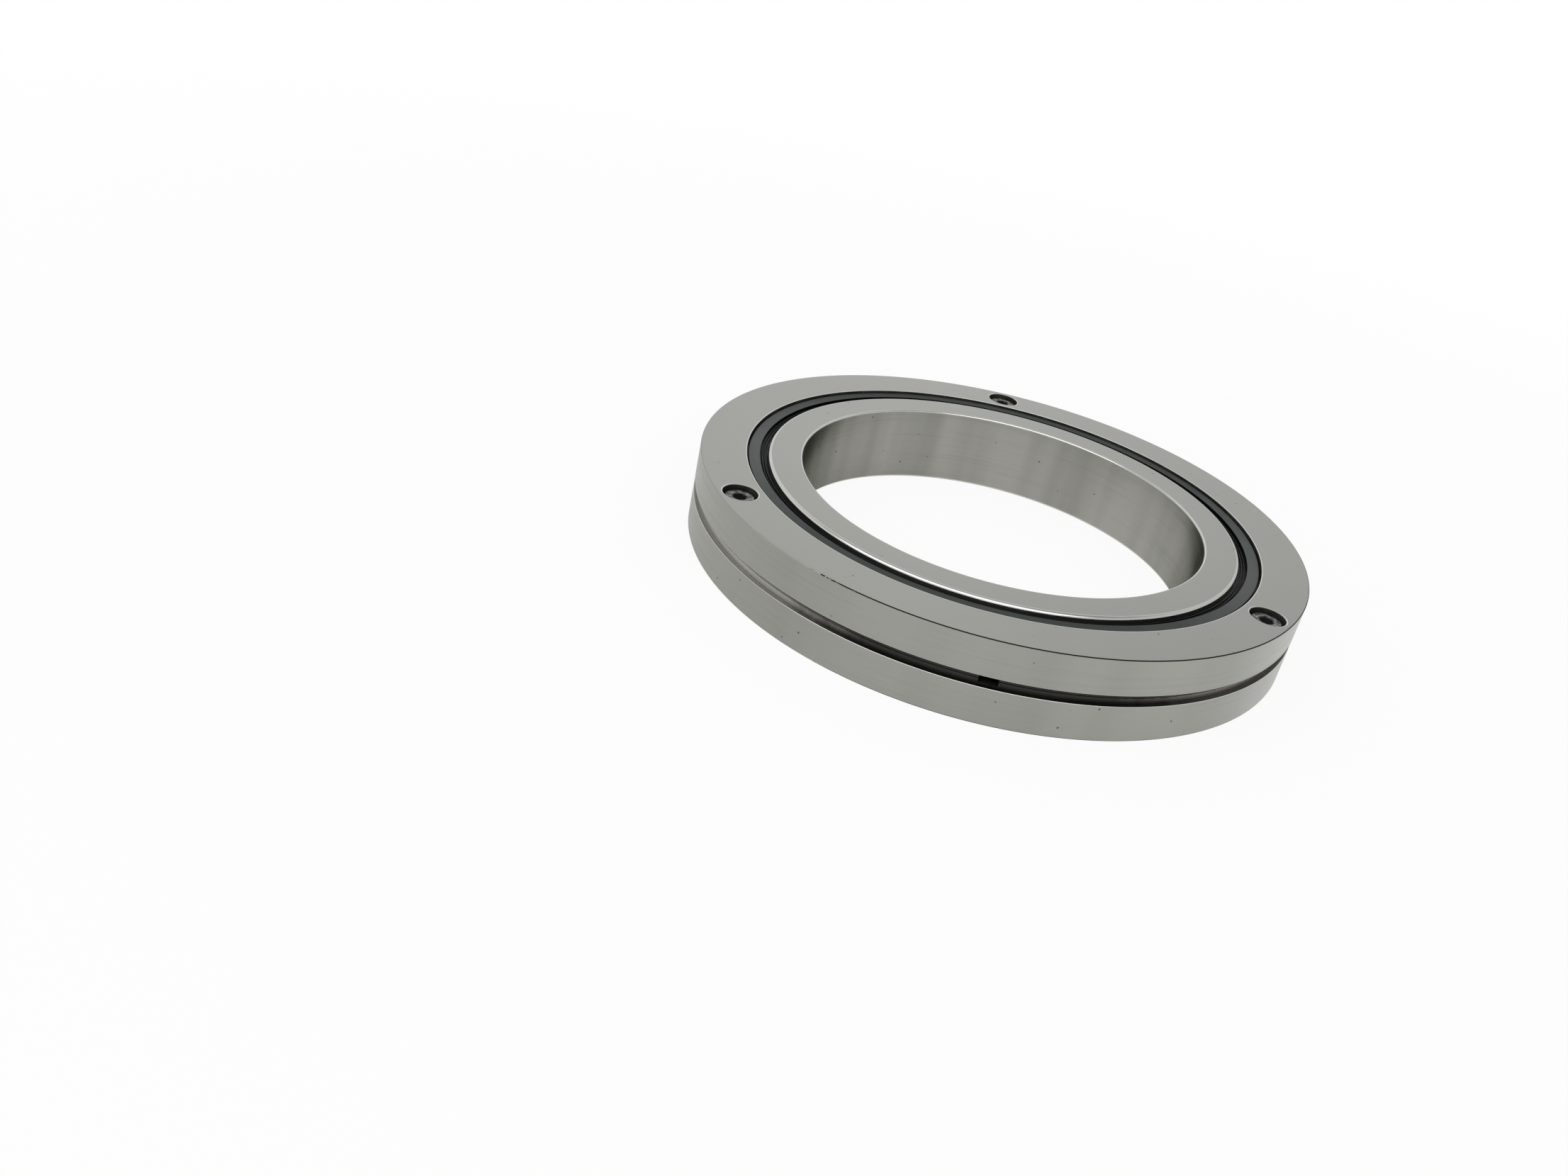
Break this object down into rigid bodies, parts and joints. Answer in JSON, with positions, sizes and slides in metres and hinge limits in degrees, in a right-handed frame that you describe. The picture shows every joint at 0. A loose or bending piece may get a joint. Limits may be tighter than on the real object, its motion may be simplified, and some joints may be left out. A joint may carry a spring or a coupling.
{
  "type": "crossed roller bearing",
  "caption": "Thin ring bearing with crossed cylindrical rollers between a screwed split outer ring and a one-piece inner ring, rubber sealed on both faces.",
  "frame": {"origin": "centre of the bore on the lower face", "axes": "+Z along the bearing's axis, towards the face with the screw heads; +Y towards one screw"},
  "size_m": [0.15, 0.15, 0.02],
  "materials": {
    "ground_bearing_steel": "fine ground, satin, with faint lines round the outside",
    "polished_roller_steel": "superfinished",
    "seal_rubber": "matt moulded",
    "blackened_screw_steel": "black oxide, worn bright on the rim",
    "spacer_nylon": "moulded"
  },
  "bodies": {
    "outer": {"outer_ring_upper": "ground_bearing_steel", "outer_ring_lower": "ground_bearing_steel", "seal_upper": "seal_rubber", "seal_lower": "seal_rubber", "clamp_screw_1": "blackened_screw_steel", "clamp_screw_2": "blackened_screw_steel", "clamp_screw_3": "blackened_screw_steel"},
    "inner": {"inner_ring": "ground_bearing_steel"},
    "cage": {"spacers": "spacer_nylon"},
    "roller_01_body": {"roller_01": "polished_roller_steel"},
    "roller_02_body": {"roller_02": "polished_roller_steel"},
    "roller_03_body": {"roller_03": "polished_roller_steel"},
    "roller_04_body": {"roller_04": "polished_roller_steel"},
    "roller_05_body": {"roller_05": "polished_roller_steel"},
    "roller_06_body": {"roller_06": "polished_roller_steel"},
    "roller_07_body": {"roller_07": "polished_roller_steel"},
    "roller_08_body": {"roller_08": "polished_roller_steel"},
    "roller_09_body": {"roller_09": "polished_roller_steel"},
    "roller_10_body": {"roller_10": "polished_roller_steel"},
    "roller_11_body": {"roller_11": "polished_roller_steel"},
    "roller_12_body": {"roller_12": "polished_roller_steel"},
    "roller_13_body": {"roller_13": "polished_roller_steel"},
    "roller_14_body": {"roller_14": "polished_roller_steel"},
    "roller_15_body": {"roller_15": "polished_roller_steel"},
    "roller_16_body": {"roller_16": "polished_roller_steel"},
    "roller_17_body": {"roller_17": "polished_roller_steel"},
    "roller_18_body": {"roller_18": "polished_roller_steel"},
    "roller_19_body": {"roller_19": "polished_roller_steel"},
    "roller_20_body": {"roller_20": "polished_roller_steel"},
    "roller_21_body": {"roller_21": "polished_roller_steel"},
    "roller_22_body": {"roller_22": "polished_roller_steel"},
    "roller_23_body": {"roller_23": "polished_roller_steel"},
    "roller_24_body": {"roller_24": "polished_roller_steel"},
    "roller_25_body": {"roller_25": "polished_roller_steel"},
    "roller_26_body": {"roller_26": "polished_roller_steel"},
    "roller_27_body": {"roller_27": "polished_roller_steel"},
    "roller_28_body": {"roller_28": "polished_roller_steel"},
    "roller_29_body": {"roller_29": "polished_roller_steel"},
    "roller_30_body": {"roller_30": "polished_roller_steel"},
    "roller_31_body": {"roller_31": "polished_roller_steel"},
    "roller_32_body": {"roller_32": "polished_roller_steel"},
    "roller_33_body": {"roller_33": "polished_roller_steel"},
    "roller_34_body": {"roller_34": "polished_roller_steel"},
    "roller_35_body": {"roller_35": "polished_roller_steel"},
    "roller_36_body": {"roller_36": "polished_roller_steel"},
    "roller_37_body": {"roller_37": "polished_roller_steel"},
    "roller_38_body": {"roller_38": "polished_roller_steel"},
    "roller_39_body": {"roller_39": "polished_roller_steel"},
    "roller_40_body": {"roller_40": "polished_roller_steel"},
    "roller_41_body": {"roller_41": "polished_roller_steel"},
    "roller_42_body": {"roller_42": "polished_roller_steel"},
    "roller_43_body": {"roller_43": "polished_roller_steel"},
    "roller_44_body": {"roller_44": "polished_roller_steel"},
    "roller_45_body": {"roller_45": "polished_roller_steel"},
    "roller_46_body": {"roller_46": "polished_roller_steel"},
    "roller_47_body": {"roller_47": "polished_roller_steel"},
    "roller_48_body": {"roller_48": "polished_roller_steel"}
  },
  "joints": [
    {"name": "inner_spin", "type": "hinge", "parent": "outer", "child": "inner", "pos_m": [0, 0, 0.01], "axis": [0, 0, 1], "continuous": true},
    {"name": "cage_orbit", "type": "hinge", "parent": "outer", "child": "cage", "pos_m": [0, 0, 0.01], "axis": [0, 0, 1], "continuous": true},
    {"name": "roller_01_spin", "type": "hinge", "parent": "cage", "child": "roller_01_body", "pos_m": [0.0615, 0, 0.01], "axis": [-0.7071, 0, 0.7071], "continuous": true},
    {"name": "roller_02_spin", "type": "hinge", "parent": "cage", "child": "roller_02_body", "pos_m": [0.06097, 0.00803, 0.01], "axis": [0.7011, 0.0923, 0.7071], "continuous": true},
    {"name": "roller_03_spin", "type": "hinge", "parent": "cage", "child": "roller_03_body", "pos_m": [0.0594, 0.01592, 0.01], "axis": [-0.683, -0.183, 0.7071], "continuous": true},
    {"name": "roller_04_spin", "type": "hinge", "parent": "cage", "child": "roller_04_body", "pos_m": [0.05682, 0.02354, 0.01], "axis": [0.6533, 0.2706, 0.7071], "continuous": true},
    {"name": "roller_05_spin", "type": "hinge", "parent": "cage", "child": "roller_05_body", "pos_m": [0.05326, 0.03075, 0.01], "axis": [-0.6124, -0.3536, 0.7071], "continuous": true},
    {"name": "roller_06_spin", "type": "hinge", "parent": "cage", "child": "roller_06_body", "pos_m": [0.04879, 0.03744, 0.01], "axis": [0.561, 0.4305, 0.7071], "continuous": true},
    {"name": "roller_07_spin", "type": "hinge", "parent": "cage", "child": "roller_07_body", "pos_m": [0.04349, 0.04349, 0.01], "axis": [-0.5, -0.5, 0.7071], "continuous": true},
    {"name": "roller_08_spin", "type": "hinge", "parent": "cage", "child": "roller_08_body", "pos_m": [0.03744, 0.04879, 0.01], "axis": [0.4305, 0.561, 0.7071], "continuous": true},
    {"name": "roller_09_spin", "type": "hinge", "parent": "cage", "child": "roller_09_body", "pos_m": [0.03075, 0.05326, 0.01], "axis": [-0.3536, -0.6124, 0.7071], "continuous": true},
    {"name": "roller_10_spin", "type": "hinge", "parent": "cage", "child": "roller_10_body", "pos_m": [0.02354, 0.05682, 0.01], "axis": [0.2706, 0.6533, 0.7071], "continuous": true},
    {"name": "roller_11_spin", "type": "hinge", "parent": "cage", "child": "roller_11_body", "pos_m": [0.01592, 0.0594, 0.01], "axis": [-0.183, -0.683, 0.7071], "continuous": true},
    {"name": "roller_12_spin", "type": "hinge", "parent": "cage", "child": "roller_12_body", "pos_m": [0.00803, 0.06097, 0.01], "axis": [0.0923, 0.7011, 0.7071], "continuous": true},
    {"name": "roller_13_spin", "type": "hinge", "parent": "cage", "child": "roller_13_body", "pos_m": [0, 0.0615, 0.01], "axis": [0, -0.7071, 0.7071], "continuous": true},
    {"name": "roller_14_spin", "type": "hinge", "parent": "cage", "child": "roller_14_body", "pos_m": [-0.00803, 0.06097, 0.01], "axis": [-0.0923, 0.7011, 0.7071], "continuous": true},
    {"name": "roller_15_spin", "type": "hinge", "parent": "cage", "child": "roller_15_body", "pos_m": [-0.01592, 0.0594, 0.01], "axis": [0.183, -0.683, 0.7071], "continuous": true},
    {"name": "roller_16_spin", "type": "hinge", "parent": "cage", "child": "roller_16_body", "pos_m": [-0.02354, 0.05682, 0.01], "axis": [-0.2706, 0.6533, 0.7071], "continuous": true},
    {"name": "roller_17_spin", "type": "hinge", "parent": "cage", "child": "roller_17_body", "pos_m": [-0.03075, 0.05326, 0.01], "axis": [0.3536, -0.6124, 0.7071], "continuous": true},
    {"name": "roller_18_spin", "type": "hinge", "parent": "cage", "child": "roller_18_body", "pos_m": [-0.03744, 0.04879, 0.01], "axis": [-0.4305, 0.561, 0.7071], "continuous": true},
    {"name": "roller_19_spin", "type": "hinge", "parent": "cage", "child": "roller_19_body", "pos_m": [-0.04349, 0.04349, 0.01], "axis": [0.5, -0.5, 0.7071], "continuous": true},
    {"name": "roller_20_spin", "type": "hinge", "parent": "cage", "child": "roller_20_body", "pos_m": [-0.04879, 0.03744, 0.01], "axis": [-0.561, 0.4305, 0.7071], "continuous": true},
    {"name": "roller_21_spin", "type": "hinge", "parent": "cage", "child": "roller_21_body", "pos_m": [-0.05326, 0.03075, 0.01], "axis": [0.6124, -0.3536, 0.7071], "continuous": true},
    {"name": "roller_22_spin", "type": "hinge", "parent": "cage", "child": "roller_22_body", "pos_m": [-0.05682, 0.02354, 0.01], "axis": [-0.6533, 0.2706, 0.7071], "continuous": true},
    {"name": "roller_23_spin", "type": "hinge", "parent": "cage", "child": "roller_23_body", "pos_m": [-0.0594, 0.01592, 0.01], "axis": [0.683, -0.183, 0.7071], "continuous": true},
    {"name": "roller_24_spin", "type": "hinge", "parent": "cage", "child": "roller_24_body", "pos_m": [-0.06097, 0.00803, 0.01], "axis": [-0.7011, 0.0923, 0.7071], "continuous": true},
    {"name": "roller_25_spin", "type": "hinge", "parent": "cage", "child": "roller_25_body", "pos_m": [-0.0615, 0, 0.01], "axis": [0.7071, 0, 0.7071], "continuous": true},
    {"name": "roller_26_spin", "type": "hinge", "parent": "cage", "child": "roller_26_body", "pos_m": [-0.06097, -0.00803, 0.01], "axis": [-0.7011, -0.0923, 0.7071], "continuous": true},
    {"name": "roller_27_spin", "type": "hinge", "parent": "cage", "child": "roller_27_body", "pos_m": [-0.0594, -0.01592, 0.01], "axis": [0.683, 0.183, 0.7071], "continuous": true},
    {"name": "roller_28_spin", "type": "hinge", "parent": "cage", "child": "roller_28_body", "pos_m": [-0.05682, -0.02354, 0.01], "axis": [-0.6533, -0.2706, 0.7071], "continuous": true},
    {"name": "roller_29_spin", "type": "hinge", "parent": "cage", "child": "roller_29_body", "pos_m": [-0.05326, -0.03075, 0.01], "axis": [0.6124, 0.3536, 0.7071], "continuous": true},
    {"name": "roller_30_spin", "type": "hinge", "parent": "cage", "child": "roller_30_body", "pos_m": [-0.04879, -0.03744, 0.01], "axis": [-0.561, -0.4305, 0.7071], "continuous": true},
    {"name": "roller_31_spin", "type": "hinge", "parent": "cage", "child": "roller_31_body", "pos_m": [-0.04349, -0.04349, 0.01], "axis": [0.5, 0.5, 0.7071], "continuous": true},
    {"name": "roller_32_spin", "type": "hinge", "parent": "cage", "child": "roller_32_body", "pos_m": [-0.03744, -0.04879, 0.01], "axis": [-0.4305, -0.561, 0.7071], "continuous": true},
    {"name": "roller_33_spin", "type": "hinge", "parent": "cage", "child": "roller_33_body", "pos_m": [-0.03075, -0.05326, 0.01], "axis": [0.3536, 0.6124, 0.7071], "continuous": true},
    {"name": "roller_34_spin", "type": "hinge", "parent": "cage", "child": "roller_34_body", "pos_m": [-0.02354, -0.05682, 0.01], "axis": [-0.2706, -0.6533, 0.7071], "continuous": true},
    {"name": "roller_35_spin", "type": "hinge", "parent": "cage", "child": "roller_35_body", "pos_m": [-0.01592, -0.0594, 0.01], "axis": [0.183, 0.683, 0.7071], "continuous": true},
    {"name": "roller_36_spin", "type": "hinge", "parent": "cage", "child": "roller_36_body", "pos_m": [-0.00803, -0.06097, 0.01], "axis": [-0.0923, -0.7011, 0.7071], "continuous": true},
    {"name": "roller_37_spin", "type": "hinge", "parent": "cage", "child": "roller_37_body", "pos_m": [0, -0.0615, 0.01], "axis": [0, 0.7071, 0.7071], "continuous": true},
    {"name": "roller_38_spin", "type": "hinge", "parent": "cage", "child": "roller_38_body", "pos_m": [0.00803, -0.06097, 0.01], "axis": [0.0923, -0.7011, 0.7071], "continuous": true},
    {"name": "roller_39_spin", "type": "hinge", "parent": "cage", "child": "roller_39_body", "pos_m": [0.01592, -0.0594, 0.01], "axis": [-0.183, 0.683, 0.7071], "continuous": true},
    {"name": "roller_40_spin", "type": "hinge", "parent": "cage", "child": "roller_40_body", "pos_m": [0.02354, -0.05682, 0.01], "axis": [0.2706, -0.6533, 0.7071], "continuous": true},
    {"name": "roller_41_spin", "type": "hinge", "parent": "cage", "child": "roller_41_body", "pos_m": [0.03075, -0.05326, 0.01], "axis": [-0.3536, 0.6124, 0.7071], "continuous": true},
    {"name": "roller_42_spin", "type": "hinge", "parent": "cage", "child": "roller_42_body", "pos_m": [0.03744, -0.04879, 0.01], "axis": [0.4305, -0.561, 0.7071], "continuous": true},
    {"name": "roller_43_spin", "type": "hinge", "parent": "cage", "child": "roller_43_body", "pos_m": [0.04349, -0.04349, 0.01], "axis": [-0.5, 0.5, 0.7071], "continuous": true},
    {"name": "roller_44_spin", "type": "hinge", "parent": "cage", "child": "roller_44_body", "pos_m": [0.04879, -0.03744, 0.01], "axis": [0.561, -0.4305, 0.7071], "continuous": true},
    {"name": "roller_45_spin", "type": "hinge", "parent": "cage", "child": "roller_45_body", "pos_m": [0.05326, -0.03075, 0.01], "axis": [-0.6124, 0.3536, 0.7071], "continuous": true},
    {"name": "roller_46_spin", "type": "hinge", "parent": "cage", "child": "roller_46_body", "pos_m": [0.05682, -0.02354, 0.01], "axis": [0.6533, -0.2706, 0.7071], "continuous": true},
    {"name": "roller_47_spin", "type": "hinge", "parent": "cage", "child": "roller_47_body", "pos_m": [0.0594, -0.01592, 0.01], "axis": [-0.683, 0.183, 0.7071], "continuous": true},
    {"name": "roller_48_spin", "type": "hinge", "parent": "cage", "child": "roller_48_body", "pos_m": [0.06097, -0.00803, 0.01], "axis": [0.7011, -0.0923, 0.7071], "continuous": true}
  ],
  "couplings": [
    {"joint": "cage_orbit", "follows": "inner_spin", "ratio": 0.48275},
    {"joint": "roller_01_spin", "follows": "inner_spin", "ratio": -10.238},
    {"joint": "roller_02_spin", "follows": "inner_spin", "ratio": -10.238},
    {"joint": "roller_03_spin", "follows": "inner_spin", "ratio": -10.238},
    {"joint": "roller_04_spin", "follows": "inner_spin", "ratio": -10.238},
    {"joint": "roller_05_spin", "follows": "inner_spin", "ratio": -10.238},
    {"joint": "roller_06_spin", "follows": "inner_spin", "ratio": -10.238},
    {"joint": "roller_07_spin", "follows": "inner_spin", "ratio": -10.238},
    {"joint": "roller_08_spin", "follows": "inner_spin", "ratio": -10.238},
    {"joint": "roller_09_spin", "follows": "inner_spin", "ratio": -10.238},
    {"joint": "roller_10_spin", "follows": "inner_spin", "ratio": -10.238},
    {"joint": "roller_11_spin", "follows": "inner_spin", "ratio": -10.238},
    {"joint": "roller_12_spin", "follows": "inner_spin", "ratio": -10.238},
    {"joint": "roller_13_spin", "follows": "inner_spin", "ratio": -10.238},
    {"joint": "roller_14_spin", "follows": "inner_spin", "ratio": -10.238},
    {"joint": "roller_15_spin", "follows": "inner_spin", "ratio": -10.238},
    {"joint": "roller_16_spin", "follows": "inner_spin", "ratio": -10.238},
    {"joint": "roller_17_spin", "follows": "inner_spin", "ratio": -10.238},
    {"joint": "roller_18_spin", "follows": "inner_spin", "ratio": -10.238},
    {"joint": "roller_19_spin", "follows": "inner_spin", "ratio": -10.238},
    {"joint": "roller_20_spin", "follows": "inner_spin", "ratio": -10.238},
    {"joint": "roller_21_spin", "follows": "inner_spin", "ratio": -10.238},
    {"joint": "roller_22_spin", "follows": "inner_spin", "ratio": -10.238},
    {"joint": "roller_23_spin", "follows": "inner_spin", "ratio": -10.238},
    {"joint": "roller_24_spin", "follows": "inner_spin", "ratio": -10.238},
    {"joint": "roller_25_spin", "follows": "inner_spin", "ratio": -10.238},
    {"joint": "roller_26_spin", "follows": "inner_spin", "ratio": -10.238},
    {"joint": "roller_27_spin", "follows": "inner_spin", "ratio": -10.238},
    {"joint": "roller_28_spin", "follows": "inner_spin", "ratio": -10.238},
    {"joint": "roller_29_spin", "follows": "inner_spin", "ratio": -10.238},
    {"joint": "roller_30_spin", "follows": "inner_spin", "ratio": -10.238},
    {"joint": "roller_31_spin", "follows": "inner_spin", "ratio": -10.238},
    {"joint": "roller_32_spin", "follows": "inner_spin", "ratio": -10.238},
    {"joint": "roller_33_spin", "follows": "inner_spin", "ratio": -10.238},
    {"joint": "roller_34_spin", "follows": "inner_spin", "ratio": -10.238},
    {"joint": "roller_35_spin", "follows": "inner_spin", "ratio": -10.238},
    {"joint": "roller_36_spin", "follows": "inner_spin", "ratio": -10.238},
    {"joint": "roller_37_spin", "follows": "inner_spin", "ratio": -10.238},
    {"joint": "roller_38_spin", "follows": "inner_spin", "ratio": -10.238},
    {"joint": "roller_39_spin", "follows": "inner_spin", "ratio": -10.238},
    {"joint": "roller_40_spin", "follows": "inner_spin", "ratio": -10.238},
    {"joint": "roller_41_spin", "follows": "inner_spin", "ratio": -10.238},
    {"joint": "roller_42_spin", "follows": "inner_spin", "ratio": -10.238},
    {"joint": "roller_43_spin", "follows": "inner_spin", "ratio": -10.238},
    {"joint": "roller_44_spin", "follows": "inner_spin", "ratio": -10.238},
    {"joint": "roller_45_spin", "follows": "inner_spin", "ratio": -10.238},
    {"joint": "roller_46_spin", "follows": "inner_spin", "ratio": -10.238},
    {"joint": "roller_47_spin", "follows": "inner_spin", "ratio": -10.238},
    {"joint": "roller_48_spin", "follows": "inner_spin", "ratio": -10.238}
  ]
}
